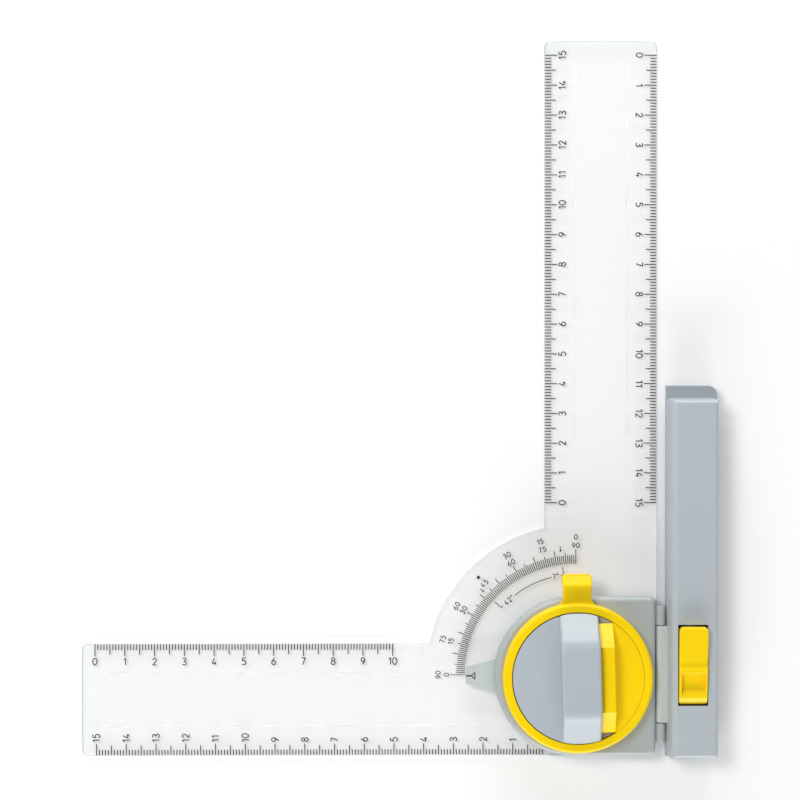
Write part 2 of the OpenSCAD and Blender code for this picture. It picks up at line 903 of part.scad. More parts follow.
module cam_slot() {
    half_w = clamp_pin_r + cam_gap;
    first = -cam_run_on;
    step = (ring_turn_range + 2 * cam_run_on) / (cam_steps - 1);
    angles = [for (i = [0 : cam_steps - 1]) first + i * step];
    outer = [for (a = angles) (cam_at(a) + half_w) * [cos(a), sin(a)]];
    inner = [for (i = [1 : cam_steps]) (cam_at(angles[cam_steps - i]) - half_w)
        * [cos(angles[cam_steps - i]), sin(angles[cam_steps - i])]];
    polygon(concat(outer, inner));
}

// Side view of the tab, in Y and Z: a dip behind the ring and a raised crest at the tip
module tab_section() {
    crest_y = tab_reach - tab_crest;
    dip_y = ring_or;
    low = ring_z0 + tab_h - tab_dip;
    polygon(concat(
        [[ring_or - ring_round, ring_z0], [tab_reach - tab_floor, ring_z0]],
        arc([tab_reach - tab_round, low - tab_round], tab_round, 0, 60),
        arc([crest_y, ring_z0 + tab_h - tab_round], tab_round, 60, 120),
        arc([dip_y, low + tab_round], tab_round, 300, 270),
        [[ring_or - ring_round, low]]
    ));
}

// Top view of the tab: rounded corners at the tip and flares where it leaves the ring
module tab_outline() {
    half = tab_w / 2;
    neck = half - tab_waist;
    corner = tab_corner_r;
    root_y = sqrt(pow(ring_or, 2) - pow(tab_root_w / 2, 2)) - ring_round;
    right = concat(
        [[tab_root_w / 2, root_y]],
        arc([neck + tab_flare_r, root_y + ring_round + tab_flare_r], tab_flare_r, 250, 180),
        [[neck, tab_reach - tab_crest - tab_round], [half, tab_reach - tab_crest + tab_round]],
        arc([half - corner, tab_reach - corner], corner, 0, 90)
    );
    left = [for (i = [1 : len(right)]) [-right[len(right) - i][0], right[len(right) - i][1]]];
    polygon(concat(right, left));
}

module lock_ring() {
    color(yellow)
        difference() {
            union() {
                rotate_extrude()
                    polygon(concat(
                        [[collar_r + run_gap, ring_z0], [ring_or, ring_z0]],
                        arc([ring_or - ring_round, ring_z1 - ring_round], ring_round, 0, 90),
                        [[ring_ir, ring_z1], [ring_ir, ring_z0 + ring_lip_t],
                         [collar_r + run_gap, ring_z0 + ring_lip_t]]
                    ));
                rotate([0, 0, tab_turn])
                    intersection() {
                        along_x(-tab_root_w, tab_root_w)
                            tab_section();
                        translate([0, 0, ring_z0])
                            linear_extrude(height = tab_h)
                                tab_outline();
                    }
            }
            translate([0, 0, ring_z0 - over])
                linear_extrude(height = cam_depth + over)
                    clamp_frame()
                        cam_slot();
        }
}

module clamp_slider() {
    color(white)
        clamp_frame()
            difference() {
                union() {
                    block([hub_r, -clamp_w / 2, clamp_z1 - clamp_h],
                          [clamp_pin_at + clamp_pin_r, clamp_w / 2, clamp_z1]);
                    translate([clamp_pin_at, 0, 0])
                        disc(clamp_pin_r, clamp_z1 - over, ring_z0 + clamp_pin_h);
                }
                disc(hub_r + clamp_travel + run_gap, clamp_z1 - clamp_h - over, clamp_z1 + over);
            }
}

// Square

// An arm that points along +Y, with rounded corners at its end
module arm_outline(left, right, l) {
    r = arm_corner_r;
    translate([-left, 0])
        square([left + right, l - r]);
    translate([r - left, 0])
        square([left + right - 2 * r, l]);
    for (x = [r - left, right - r])
        translate([x, l - r])
            circle(r = r);
}

module square_outline() {
    arm_outline(arm_inner, arm_outer, arm_up_l);
    rotate([0, 0, 90])
        arm_outline(arm_outer, arm_inner, arm_side_l);
    circle(r = arm_outer);
    intersection() {
        circle(r = quadrant_r);
        translate([-quadrant_r, 0])
            square([quadrant_r, quadrant_r]);
    }
}

// Wedge that bevels an edge along +Y at x = 0, with the sheet on the left of it
module bevel_cut(from, to) {
    slope = (sheet_t - edge_t) / bevel_w;
    along_y(from, to)
        polygon([
            [-bevel_w, sheet_t],
            [over, edge_t - slope * over],
            [over, sheet_t + over],
            [-bevel_w, sheet_t + over]
        ]);
}

module drafting_square() {
    color(clear)
        difference() {
            linear_extrude(height = sheet_t)
                square_outline();
            translate([arm_outer, 0, 0])
                bevel_cut(bevel_start, arm_up_l + over);
            translate([-arm_inner, 0, 0])
                mirror([1, 0, 0])
                    bevel_cut(bevel_start, arm_up_l + over);
            rotate([0, 0, 90])
                translate([arm_inner, 0, 0])
                    bevel_cut(bevel_start, arm_side_l + over);
            rotate([0, 0, 90])
                translate([-arm_outer, 0, 0])
                    mirror([1, 0, 0])
                        bevel_cut(level_bevel_end, arm_side_l + over);
            disc(hub_spigot_r, -over, sheet_t + over);
            disc(hub_flange_r + play, -over, hub_plate_t);
        }
}

// Frame of the knob and all that is fixed to it
module knob_frame() {
    rotate([0, 0, grip_turn])
        children();
}

module hub_screw_places() {
    knob_frame()
        for (share = hub_screw_shares)
            translate([share[0] * hub_r, share[1] * hub_r, 0])
                children();
}

module hub() {
    color(steel)
        difference() {
            union() {
                disc(hub_spigot_r, hub_plate_t, sheet_t);
                disc(hub_flange_r, sheet_t, sheet_t + hub_flange_t);
                disc(hub_r, sheet_t, knob_z0);
            }
            hub_screw_places()
                disc(hub_screw_r + play, hub_plate_t - over, knob_z0 + over);
        }
}

module hub_plate() {
    color(steel)
        difference() {
            disc(hub_flange_r, 0, hub_plate_t);
            hub_screw_places()
                sunk_hole(hub_screw_r, hub_screw_head_r, hub_plate_t + over);
        }
}

module hub_screws() {
    color(steel)
        hub_screw_places()
            sunk_screw(hub_screw_r, hub_screw_head_r, knob_z1 - hub_screw_tip);
}

module thrust_spring() {
    z0 = housing_z1 + bush_flange_t + play;
    color(steel)
        rotate_extrude()
            polygon([
                [thrust_r1, z0],
                [thrust_r1, z0 + thrust_t],
                [thrust_r0, knob_z0],
                [thrust_r0, knob_z0 - thrust_t]
            ]);
}

// Side view of the grip, or of the bar beside it: a flat top, and ends that slope down to the
// disc with a rounded shoulder between
module bar_section(half_l, flat_half_l, foot, top, round_r) {
    slope = atan2(top - knob_z1, half_l - flat_half_l);
    inset = round_r * tan(slope / 2);
    polygon(concat(
        [[-half_l, foot], [half_l, foot], [half_l, knob_z1]],
        arc([flat_half_l - inset, top - round_r], round_r, 90 - slope, 90),
        arc([inset - flat_half_l, top - round_r], round_r, 90, 90 + slope),
        [[-half_l, knob_z1]]
    ));
}

module knob() {
    recess_half_l = bar_half_l + move_gap;
    color(grey)
        knob_frame()
            difference() {
                union() {
                    disc(knob_r, knob_z0, knob_z1);
                    intersection() {
                        along_x(grip_x0, grip_x1)
                            bar_section(grip_half_l, grip_flat_l / 2, knob_z0, grip_z1,
                                        shoulder_r);
                        disc(knob_r, knob_z0, grip_z1);
                    }
                }
                block([grip_back, -recess_half_l, knob_z0 + knob_floor_t],
                      [knob_r + over, recess_half_l, knob_z1]);
                block([grip_x1, -knob_r, knob_z0 + knob_floor_t],
                      [knob_r + over, knob_r, knob_z1 + over]);
                translate([0, 0, play])
                    along_x(grip_back, knob_r + over)
                        bar_section(recess_half_l, bar_flat_share * recess_half_l + move_gap,
                                    knob_z1 - over, bar_z1 + move_gap, bar_shoulder_r);
                block([pawl_x1 - pawl_l - lever_travel - move_gap, -pawl_w / 2 - move_gap,
                       knob_z0 - over],
                      [pawl_x1 + move_gap, pawl_w / 2 + move_gap, knob_z0 + knob_floor_t + over]);
                for (share = hub_screw_shares)
                    translate([share[0] * hub_r, share[1] * hub_r, 0])
                        disc(hub_screw_r, knob_z0 - over, knob_z1 - hub_screw_tip + play);
            }
}

// The bow touches the grip's back wall at its ends and the bar at its middle
module lever_spring() {
    steps = [for (i = [0 : spring_steps]) 2 * i / spring_steps - 1];
    front = [for (s = steps) [grip_back + play / 2 + spring_t + spring_bow * (1 - s * s),
                              s * spring_half_l]];
    back = [for (s = steps) [grip_back + play / 2 + spring_bow * (1 - s * s),
                             -s * spring_half_l]];
    color(steel)
        knob_frame()
            translate([0, 0, knob_z1])
                linear_extrude(height = spring_w)
                    polygon(concat(front, back));
}

module lever_plate_outline() {
    intersection() {
        circle(r = plate_r);
        translate([bar_x0, -bar_half_l])
            square([plate_r, 2 * bar_half_l]);
    }
}

module release_lever() {
    color(yellow)
        knob_frame()
            difference() {
                union() {
                    translate([0, 0, plate_z0])
                        linear_extrude(height = plate_t)
                            lever_plate_outline();
                    intersection() {
                        along_x(bar_x0, bar_x1)
                            bar_section(bar_half_l, bar_flat_share * bar_half_l, plate_z0, bar_z1,
                                        bar_shoulder_r);
                        disc(plate_r, plate_z0, bar_z1);
                    }
                }
                translate([pawl_x1 - pawl_l / 2, 0, plate_z0 - over])
                    cylinder(r = pawl_screw_r, h = pawl_screw_l);
            }
}

module detent_pawl() {
    color(steel)
        knob_frame()
            difference() {
                block([pawl_x1 - pawl_l, -pawl_w / 2, detent_z0 + play], [pawl_x1, pawl_w / 2, plate_z0]);
                translate([pawl_x1 - pawl_l / 2, 0, detent_z0])
                    sunk_hole(pawl_screw_r, pawl_screw_r + play, plate_z0 - detent_z0 + over);
            }
}

module pawl_screws() {
    color(steel)
        knob_frame()
            translate([pawl_x1 - pawl_l / 2, 0, detent_z0 + play])
                cylinder(r = pawl_screw_r, h = plate_z0 + pawl_screw_l / 2 - detent_z0);
}

guide_shoe();
guide_cover();
cover_screws();
hinge_knuckle();
knuckle_screws();
rocker_pin();
brake_spring();
brake_rocker();
brake_plunger();
brake_pad();
head_base();
index_pointer();
pointer_screws();
hinge_pin();
bearing_bush();
slide_washer();
detent_ring();
detent_screws();
lock_ring();
clamp_slider();
drafting_square();
hub();
hub_plate();
hub_screws();
thrust_spring();
knob();
lever_spring();
release_lever();
detent_pawl();
pawl_screws();
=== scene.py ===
# Looks of the drafting head: rounded shells over the CAD solids, the print on the clear square,
# the materials, the floor, the lights and the camera. Numbers are in millimetres and degrees, as
# in the part's source, unless a comment says metres. MM turns millimetres into metres.
import json
import math

import bmesh
import bpy
from mathutils import Matrix, Vector


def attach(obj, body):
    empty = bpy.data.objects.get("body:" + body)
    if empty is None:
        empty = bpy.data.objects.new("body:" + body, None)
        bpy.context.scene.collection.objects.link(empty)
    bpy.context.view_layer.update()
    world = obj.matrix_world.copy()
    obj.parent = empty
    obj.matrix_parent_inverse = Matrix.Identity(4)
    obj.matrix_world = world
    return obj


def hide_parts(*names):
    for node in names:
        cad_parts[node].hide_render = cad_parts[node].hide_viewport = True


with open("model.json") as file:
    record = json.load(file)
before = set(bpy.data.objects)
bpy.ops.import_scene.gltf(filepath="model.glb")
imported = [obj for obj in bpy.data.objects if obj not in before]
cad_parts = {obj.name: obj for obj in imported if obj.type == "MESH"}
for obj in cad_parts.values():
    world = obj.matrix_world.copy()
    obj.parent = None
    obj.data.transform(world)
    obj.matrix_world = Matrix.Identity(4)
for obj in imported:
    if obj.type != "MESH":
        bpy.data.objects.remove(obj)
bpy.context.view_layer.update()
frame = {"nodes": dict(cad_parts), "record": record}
nodes = frame["nodes"]
scene = bpy.context.scene
MM = 0.001

# The clear square: its two faces, its bevels, and the distance of its edges from the turning axis
SHEET_TOP = 2.0
EDGE_TOP = 1.0
BEVEL_W = 10.0
ARM_INNER = 10.5
ARM_OUTER = 27.2
# Only its two ends lie past these, and faces steeper than this slope are sawn
SQUARE_FAR_X = -163.4
SQUARE_FAR_Y = 210
SAWN_SLOPE = 0.85

# The hinge: its axis, its middle along Y, the knuckle's end and the start of the knuckle's foot,
# the ends of the housing's lugs, and a radius just outside the pin's bore
HINGE_X = 28.1
HINGE_Z = 6.5
HINGE_Y = 0.7
KNUCKLE_END = 16.2
KNUCKLE_FOOT_X = 30
LUG_ENDS = (16.5, 22.8)
PIN_RIM = 1.3

# The housing, with the round seat of the locking ring and the flat seat of the pointer
HOUSING_TOP = 8.0
HOUSING_FOOT = 2.4
HOUSING_RIGHT = 26.5
RING_SEAT_R = 25.5
POINTER_SEAT_X = -25.5
POINTER_ROOT_X = -26.1
POINTER_TOP = 3.8

# The locking ring: a radius in its middle, one just inside its rim, how far up its foot is
# rounded, and where its tab begins and its underside is
RING_TOP = 12.9
RING_FOOT = 8.2
RING_MID_R = 22.5
RING_RIM_R = 24.9
RING_CLEAR_Y = 20
TAB_START = 26.3
TAB_UNDER = 10.5

# The guide bar's shoe: its two steps, and the left, right, near and far sides of the bar
SHOE_TOP = 6.0
SHOE_FOOT = 2.5
SHOE_SIDES = (29.95, 46.85, -26.95, 94.1)

# The knob: its disc's top, its turn off the upright, and the sides of the grip and of the lever
DISC_TOP = 13.0
GRIP_TURN = 1.5
GRIP_LEFT = -5.9
GRIP_RIGHT = 7.1
LEVER_RIGHT = 11.9

# The brake rocker's pivot, the tilt that it rests at, and how far its sides rise over the pivot
PIVOT_Y = 4.8
PIVOT_Z = 11.2
ROCKER_TILT = 8
ROCKER_SIDE_TOP = 2.4


def linear(code):
    """Linear colour from an sRGB hex value."""
    parts = [int(code[i:i + 2], 16) / 255 for i in (1, 3, 5)]
    return tuple(c / 12.92 if c <= 0.04045 else ((c + 0.055) / 1.055) ** 2.4
                 for c in parts) + (1.0,)


def per_mm(size):
    """Texture scale that gives features of about this many millimetres."""
    return 1 / (size * MM)


def add(tree, kind, feeds=None, **settings):
    """Adds a node. feeds maps an input to a value or to another node's output."""
    node = tree.nodes.new(kind)
    for name, value in settings.items():
        setattr(node, name, value)
    for place, value in (feeds or {}).items():
        if isinstance(value, bpy.types.NodeSocket):
            tree.links.new(value, node.inputs[place])
        else:
            node.inputs[place].default_value = value
    return node


def new_material(name):
    """An empty material, its node tree, and the Object coordinates that its patterns use."""
    material = bpy.data.materials.new(name)
    material.use_nodes = True
    tree = material.node_tree
    tree.nodes.clear()
    place = add(tree, "ShaderNodeTexCoord").outputs["Object"]
    return material, tree, place


def close_material(tree, shader):
    """Joins a shader to the material's output."""
    add(tree, "ShaderNodeOutputMaterial", {"Surface": shader.outputs[0]})


def noise(tree, place, size, detail, **more):
    """Noise with features of about this many millimetres."""
    feeds = {"Vector": place, "Scale": per_mm(size), "Detail": detail}
    return add(tree, "ShaderNodeTexNoise", {**feeds, **more}).outputs["Fac"]


def tones(tree, pattern, shade, colour):
    """A colour that a pattern moves between two near tones."""
    return add(tree, "ShaderNodeMix", {0: pattern, 6: linear(shade), 7: linear(colour)},
               data_type="RGBA").outputs[2]


def spread(tree, pattern, least, most, span=(0.0, 1.0)):
    """A value that a pattern moves between two limits. span is the part of the pattern it uses."""
    return add(tree, "ShaderNodeMapRange", {"Value": pattern, "From Min": span[0],
                                            "From Max": span[1], "To Min": least,
                                            "To Max": most}).outputs[0]


def relief(tree, pattern, depth, strength=0.5):
    """The fine relief of a pattern, to a depth in millimetres."""
    return add(tree, "ShaderNodeBump", {"Height": pattern, "Distance": depth * MM,
                                        "Strength": strength}).outputs["Normal"]


def principled(tree, colour, roughness, **more):
    """A principled shader. more names further inputs, with _ for each blank."""
    feeds = {name.replace("_", " "): value for name, value in more.items()}
    return add(tree, "ShaderNodeBsdfPrincipled",
               {"Base Color": colour, "Roughness": roughness, **feeds})


def moulded_plastic(name, colour, shade, roughness, flow, grain, depth, gloss=0.5):
    """Injection moulded plastic: a colour that drifts a little with the flow, and a satin grain."""
    material, tree, place = new_material(name)
    tint = tones(tree, noise(tree, place, flow, 2.0), shade, colour)
    fine = noise(tree, place, grain, 3.0)
    satin = spread(tree, fine, roughness - 0.05, roughness + 0.05, (0.3, 0.7))
    close_material(tree, principled(tree, tint, satin, Normal=relief(tree, fine, depth, 0.6),
                                    IOR=1.53, Specular_IOR_Level=gloss))
    return material


def turned_metal(name, colour, shade, roughness, pitch, depth):
    """Metal from the lathe: rings about the upright axis at the tool's feed."""
    material, tree, place = new_material(name)
    rings = add(tree, "ShaderNodeTexWave", {"Vector": place, "Scale": per_mm(2 * pitch),
                                            "Distortion": 1.5, "Detail": 2.0},
                wave_type="RINGS", rings_direction="Z").outputs["Fac"]
    sheen = spread(tree, rings, roughness - 0.06, roughness + 0.06)
    close_material(tree, principled(tree, tones(tree, rings, shade, colour), sheen, Metallic=1.0,
                                    Normal=relief(tree, rings, depth)))
    return material


def drawn_metal(name, colour, shade, roughness, streak, depth, along):
    """Metal drawn, ground or rolled one way: long thin streaks along that way."""
    material, tree, place = new_material(name)
    stretch = add(tree, "ShaderNodeMapping", {"Vector": place, "Scale": along}).outputs[0]
    streaks = noise(tree, stretch, streak, 4.0, Roughness=0.6)
    sheen = spread(tree, streaks, roughness - 0.08, roughness + 0.08, (0.3, 0.7))
    close_material(tree, principled(tree, tones(tree, streaks, shade, colour), sheen, Metallic=1.0,
                                    Normal=relief(tree, streaks, depth)))
    return material


def let_through(tree, shader, share, colour):
    """Lets a share of the rays straight through, dimmed by a colour."""
    through = add(tree, "ShaderNodeBsdfTransparent", {"Color": linear(colour)})
    return add(tree, "ShaderNodeMixShader", {0: share, 1: shader.outputs[0],
                                             2: through.outputs[0]})


def clear_acrylic():
    """Cast acrylic sheet, polished: clear as water, with the faintest ripple and rub marks. The
    lamps' light and the board's own light pass straight through, so the board under it is lit as
    brightly as the board beside it."""
    material, tree, place = new_material("clear cast acrylic")
    ripple = noise(tree, place, 14, 2.0)
    haze = spread(tree, noise(tree, place, 1.2, 5.0, Roughness=0.65), 0.01, 0.06, (0.45, 0.75))
    sheet = principled(tree, linear("#FEFFFF"), haze, IOR=1.49, Transmission_Weight=1.0,
                       Normal=relief(tree, ripple, 0.01, 0.3))
    ray = add(tree, "ShaderNodeLightPath").outputs
    either = add(tree, "ShaderNodeMath", {0: ray["Is Shadow Ray"], 1: ray["Is Diffuse Ray"]},
                 operation="MAXIMUM")
    close_material(tree, let_through(tree, sheet, either.outputs[0], "#FDFDFD"))
    return material


def sawn_edge():
    """The sheet's cut sides: milky from the saw, and grey as painted shade that draws the dark
    outline the clear edges show.
    """
    material, tree, place = new_material("sawn acrylic edge")
    marks = noise(tree, place, 0.7, 3.0)
    # Painted shade: these greys stand in for the dark line at the sheet's edges; only the milkiness
    # and the marks are the saw's
    cut = principled(tree, tones(tree, marks, "#A9B0B2", "#C6CBCC"), 0.35, IOR=1.49,
                     Transmission_Weight=0.35, Normal=relief(tree, marks, 0.01))
    ray = add(tree, "ShaderNodeLightPath").outputs
    close_material(tree, let_through(tree, cut, ray["Is Shadow Ray"], "#D2D6D6"))
    return material


def print_ink():
    """Screen printing ink: dark grey, dull, thin in places where the mesh let less through."""
    material, tree, place = new_material("screen print ink")
    cover = noise(tree, place, 0.5, 3.0)
    close_material(tree, principled(tree, tones(tree, cover, "#26262A", "#3C3C41"), 0.7))
    return material


def brake_rubber():
    """Nitrile rubber, moulded: near black and dull, with pale dust in its pores."""
    material, tree, place = new_material("moulded nitrile rubber")
    pores = add(tree, "ShaderNodeTexVoronoi", {"Vector": place, "Scale": per_mm(0.6)})
    pores = pores.outputs["Distance"]
    close_material(tree, principled(tree, tones(tree, pores, "#161617", "#2A2A2B"), 0.85,
                                    Normal=relief(tree, pores, 0.03)))
    return material


def paper_board():
    """The white board under the head: dull, with a faint fibre."""
    material, tree, place = new_material("white paper board")
    fibre = noise(tree, place, 0.8, 4.0)
    close_material(tree, principled(tree, tones(tree, fibre, "#FCFCFC", "#FEFEFE"), 0.9,
                                    Specular_IOR_Level=0.1))
    return material


# Satin greys, cool on the knob and the cover, warmer on the housing, darker on the slippery shoe
grey_abs = moulded_plastic("grey moulded ABS", "#B5BEC4", "#B0B9BF", 0.4, 22, 0.35, 0.006)
housing_abs = moulded_plastic("warm grey moulded ABS", "#AEB5B6", "#A9B0B1", 0.4, 22, 0.35, 0.006)
shoe_abs = moulded_plastic("darker grey moulded acetal", "#A0A9AE", "#9BA4A9", 0.36, 22, 0.35,
                           0.004)
# The palest grey, a little green, is the pointer's own colour. The hinge's knuckle wears it too, as
# a painted highlight: a lighter copy of the grey standing in for the light its raised middle
# catches over the shaded lugs
pointer_abs = moulded_plastic("pale grey green moulded ABS", "#C0CAC9", "#BBC5C4", 0.45, 12, 0.35,
                              0.005)
# Strong yellow with a soft gloss, and the white of the sliding pieces inside
yellow_abs = moulded_plastic("yellow moulded ABS", "#FDD900", "#FAD400", 0.34, 16, 0.35, 0.004, 0.2)
slide_acetal = moulded_plastic("white moulded acetal", "#EDEDE8", "#E6E6E0", 0.34, 10, 0.3, 0.003)
acrylic = clear_acrylic()
cut_acrylic = sawn_edge()
ink = print_ink()
rubber = brake_rubber()
# Turned metals glint in fine rings, and drawn, ground and rolled ones in streaks
turned_aluminium = turned_metal("turned aluminium", "#D2D4D6", "#C3C5C8", 0.3, 0.25, 0.004)
turned_brass = turned_metal("turned brass", "#D3B26A", "#C2A058", 0.28, 0.25, 0.004)
ground_steel = drawn_metal("ground steel", "#C6C8CB", "#B2B4B8", 0.28, 0.12, 0.003, (1, 0.05, 1))
rolled_steel = drawn_metal("rolled spring steel", "#A9ABB0", "#96989D", 0.34, 0.15, 0.003,
                           (0.06, 1, 1))
zinc_steel = drawn_metal("zinc plated steel", "#CDCFD2", "#BFC2C6", 0.32, 0.4, 0.004, (1, 1, 1))

finishes = {
    "grey_plastic": grey_abs, "shoe_plastic": shoe_abs, "pointer_plastic": pointer_abs,
    "yellow_plastic": yellow_abs, "slide_plastic": slide_acetal, "pad_rubber": rubber,
    "clear_acrylic": acrylic, "hub_aluminium": turned_aluminium, "bush_brass": turned_brass,
    "pin_steel": ground_steel, "spring_steel": rolled_steel, "screw_steel": zinc_steel,
}
slot_of = {part["node"]: part["material_slot"] for part in frame["record"]["subparts"]}
for name, node in nodes.items():
    node.data.materials.clear()
    node.data.materials.append(finishes[slot_of[name]])


# Rounded shells over the CAD solids. A moulded edge is never sharp, and its small radius is what
# catches the light.

# Planes through the opening round the turning axis
OPENING_CUTS = (((0, 0, 0), (1, 0, 0)), ((0, 0, 0), (0, 1, 0)))


def merged_copy(node, *cuts):
    """A bmesh of a CAD node's mesh with its doubles merged and its flat faces joined. Cuts are
    planes through a face's opening, so that no face has a hole in it."""
    bm = bmesh.new()
    bm.from_mesh(nodes[node].data)
    bmesh.ops.remove_doubles(bm, verts=bm.verts, dist=0.0005 * MM)
    for place, normal in cuts:
        bmesh.ops.bisect_plane(bm, geom=bm.verts[:] + bm.edges[:] + bm.faces[:],
                               plane_co=Vector(place) * MM, plane_no=normal, dist=0.0001 * MM)
    loose = [edge for edge in bm.edges
             if not any(all(abs((vert.co - Vector(place) * MM).dot(Vector(normal))) < 0.001 * MM
                            for vert in edge.verts) for place, normal in cuts)]
    bmesh.ops.dissolve_limit(bm, angle_limit=math.radians(0.3), verts=bm.verts, edges=loose)
    return bm


def corners(bm, chosen, least=25, hollow=False):
    """Chosen edges where two faces meet at more than this many degrees, outward unless hollow."""
    found = []
    for edge in bm.edges:
        if len(edge.link_faces) != 2 or edge.calc_face_angle(0) < math.radians(least):
            continue
        if (edge.calc_face_angle_signed(0) < 0) != hollow:
            continue
        if all(chosen(vert.co.x / MM, vert.co.y / MM, vert.co.z / MM) for vert in edge.verts):
            found.append(edge)
    return found


def round_off(bm, edges, radius, steps):
    """Rounds edges to a radius in millimetres."""
    bmesh.ops.bevel(bm, geom=edges, affect="EDGES", offset=radius * MM, offset_type="OFFSET",
                    segments=steps, profile=0.5, material=-1, clamp_overlap=False,
                    loop_slide=False)


def new_piece(name, mesh, body):
    """Puts a mesh into the scene as a piece that rides on its body."""
    piece = bpy.data.objects.new(name, mesh)
    scene.collection.objects.link(piece)
    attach(piece, body)
    return piece


def finished(bm, name, material, body, slot, *replaced, crease=38):
    """Makes a piece, smooth but for creases of that many degrees, in place of the nodes named."""
    for face in bm.faces:
        face.smooth = True
    mesh = bpy.data.meshes.new(name)
    bm.to_mesh(mesh)
    bm.free()
    mesh.set_sharp_from_angle(angle=math.radians(crease))
    mesh.materials.append(material)
    piece = new_piece(name, mesh, body)
    shading = piece.modifiers.new("even shading", "WEIGHTED_NORMAL")
    shading.keep_sharp = True
    if replaced:
        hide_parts(*replaced)
    return piece


def near(value, target, slack=0.03):
    """Whether a value is a target, but for the mesh's own small error."""
    return abs(value - target) < slack


def off_pin(x, z):
    """Whether a place is clear of the hinge pin's bore."""
    return math.hypot(x - HINGE_X, z - HINGE_Z) > PIN_RIM


def across_grip(x, y):
    """Place across the grip, which stands a little off the upright."""
    turn = math.radians(GRIP_TURN)
    return x * math.cos(turn) + y * math.sin(turn)


def over_rocker(y, z):
    """Height over the rocker's pivot, square to the rocker's own top."""
    tilt = math.radians(ROCKER_TILT)
    return (z - PIVOT_Z) * math.cos(tilt) - (y - PIVOT_Y) * math.sin(tilt)


def housing_shell():
    """The housing: a broad soft radius round its top, and eased rims on its hinge lugs."""
    bm = merged_copy("head_base", *OPENING_CUTS)
    round_off(bm, corners(bm, lambda x, y, z: near(z, HOUSING_TOP) and x < HOUSING_RIGHT
                          and math.hypot(x, y) > RING_SEAT_R), radius=1.6, steps=7)
    round_off(bm, corners(bm, lambda x, y, z: near(z, HOUSING_FOOT)
                          and POINTER_SEAT_X < x < HOUSING_RIGHT
                          and math.hypot(x, y) > RING_SEAT_R + 0.5), radius=0.3, steps=2)
    round_off(bm, corners(bm, lambda x, y, z: x > HOUSING_RIGHT + 0.1 and off_pin(x, z)
                          and any(near(abs(y - HINGE_Y), end, 0.02) for end in LUG_ENDS)),
              radius=0.2, steps=2)
    finished(bm, "housing_shell", housing_abs, "head", "grey_plastic", "head_base")


def shoe_shell():
    """The shoe: its two steps eased where they stand out from the cover."""
    bm = merged_copy("guide_shoe")
    left, right, near_end, far_end = SHOE_SIDES
    for height, radius in ((SHOE_TOP, 0.35), (SHOE_FOOT, 0.25)):
        round_off(bm, corners(bm, lambda x, y, z: near(z, height)
                              and (x < left or x > right or y < near_end or y > far_end)),
                  radius, steps=3)
    finished(bm, "shoe_shell", shoe_abs, "guide", "shoe_plastic", "guide_shoe")


def knuckle_shell():
    """The hinge's knuckle: its two ends eased round the pin."""
    bm = merged_copy("hinge_knuckle")
    round_off(bm, corners(bm, lambda x, y, z: near(abs(y - HINGE_Y), KNUCKLE_END)
                          and x < KNUCKLE_FOOT_X and off_pin(x, z)), radius=0.6, steps=4)
    # Painted highlight: the knuckle takes the paler pointer plastic instead of the grey of its
    # slot, so it looks lit brighter than the lugs
    finished(bm, "knuckle_shell", pointer_abs, "guide", "grey_plastic", "hinge_knuckle")


def pointer_shell():
    """The pointer: its top rim eased where it stands out from the housing."""
    bm = merged_copy("index_pointer")
    round_off(bm, corners(bm, lambda x, y, z: near(z, POINTER_TOP) and x < POINTER_ROOT_X),
              radius=0.25, steps=3)
    finished(bm, "pointer_shell", pointer_abs, "head", "pointer_plastic", "index_pointer")


def ring_shell():
    """The locking ring: the CAD holds its round rim, and its tab is softened here."""
    bm = merged_copy("lock_ring")
    round_off(bm, corners(bm, lambda x, y, z: near(z, RING_TOP)
                          and math.hypot(x, y) < RING_MID_R), radius=0.25, steps=3)
    round_off(bm, corners(bm, lambda x, y, z: y > TAB_START and z > TAB_UNDER, 30),
              radius=0.5, steps=4)
    round_off(bm, corners(bm, lambda x, y, z: near(z, RING_FOOT) and y < RING_CLEAR_Y
                          and math.hypot(x, y) > RING_RIM_R), radius=0.3, steps=2)
    finished(bm, "ring_shell", yellow_abs, "ring", "yellow_plastic", "lock_ring")


def knob_shell():
    """The knob: round shoulders along the grip, and a soft root where it rises from the disc."""
    bm = merged_copy("knob")
    round_off(bm, corners(bm, lambda x, y, z: z > DISC_TOP - 0.05
                          and (near(across_grip(x, y), GRIP_LEFT)
                               or near(across_grip(x, y), GRIP_RIGHT))), radius=1.0, steps=6)
    round_off(bm, corners(bm, lambda x, y, z: near(z, DISC_TOP)
                          and near(across_grip(x, y), GRIP_LEFT), hollow=True),
              radius=0.5, steps=4)
    bmesh.ops.remove_doubles(bm, verts=bm.verts, dist=0.04 * MM)
    finished(bm, "knob_shell", grey_abs, "square", "grey_plastic", "knob")


def lever_shell():
    """The release lever: the outer edge of its bar eased."""
    bm = merged_copy("release_lever")
    round_off(bm, corners(bm, lambda x, y, z: z > DISC_TOP - 0.05
                          and near(across_grip(x, y), LEVER_RIGHT)), radius=0.35, steps=3)
    finished(bm, "lever_shell", yellow_abs, "lever", "yellow_plastic", "release_lever")


def rocker_shell():
    """The brake rocker: the edges of its top and of its finger dip eased."""
    bm = merged_copy("brake_rocker")
    round_off(bm, corners(bm, lambda x, y, z: over_rocker(y, z) > ROCKER_SIDE_TOP, 50),
              radius=0.22, steps=3)
    finished(bm, "rocker_shell", yellow_abs, "rocker", "yellow_plastic", "brake_rocker")


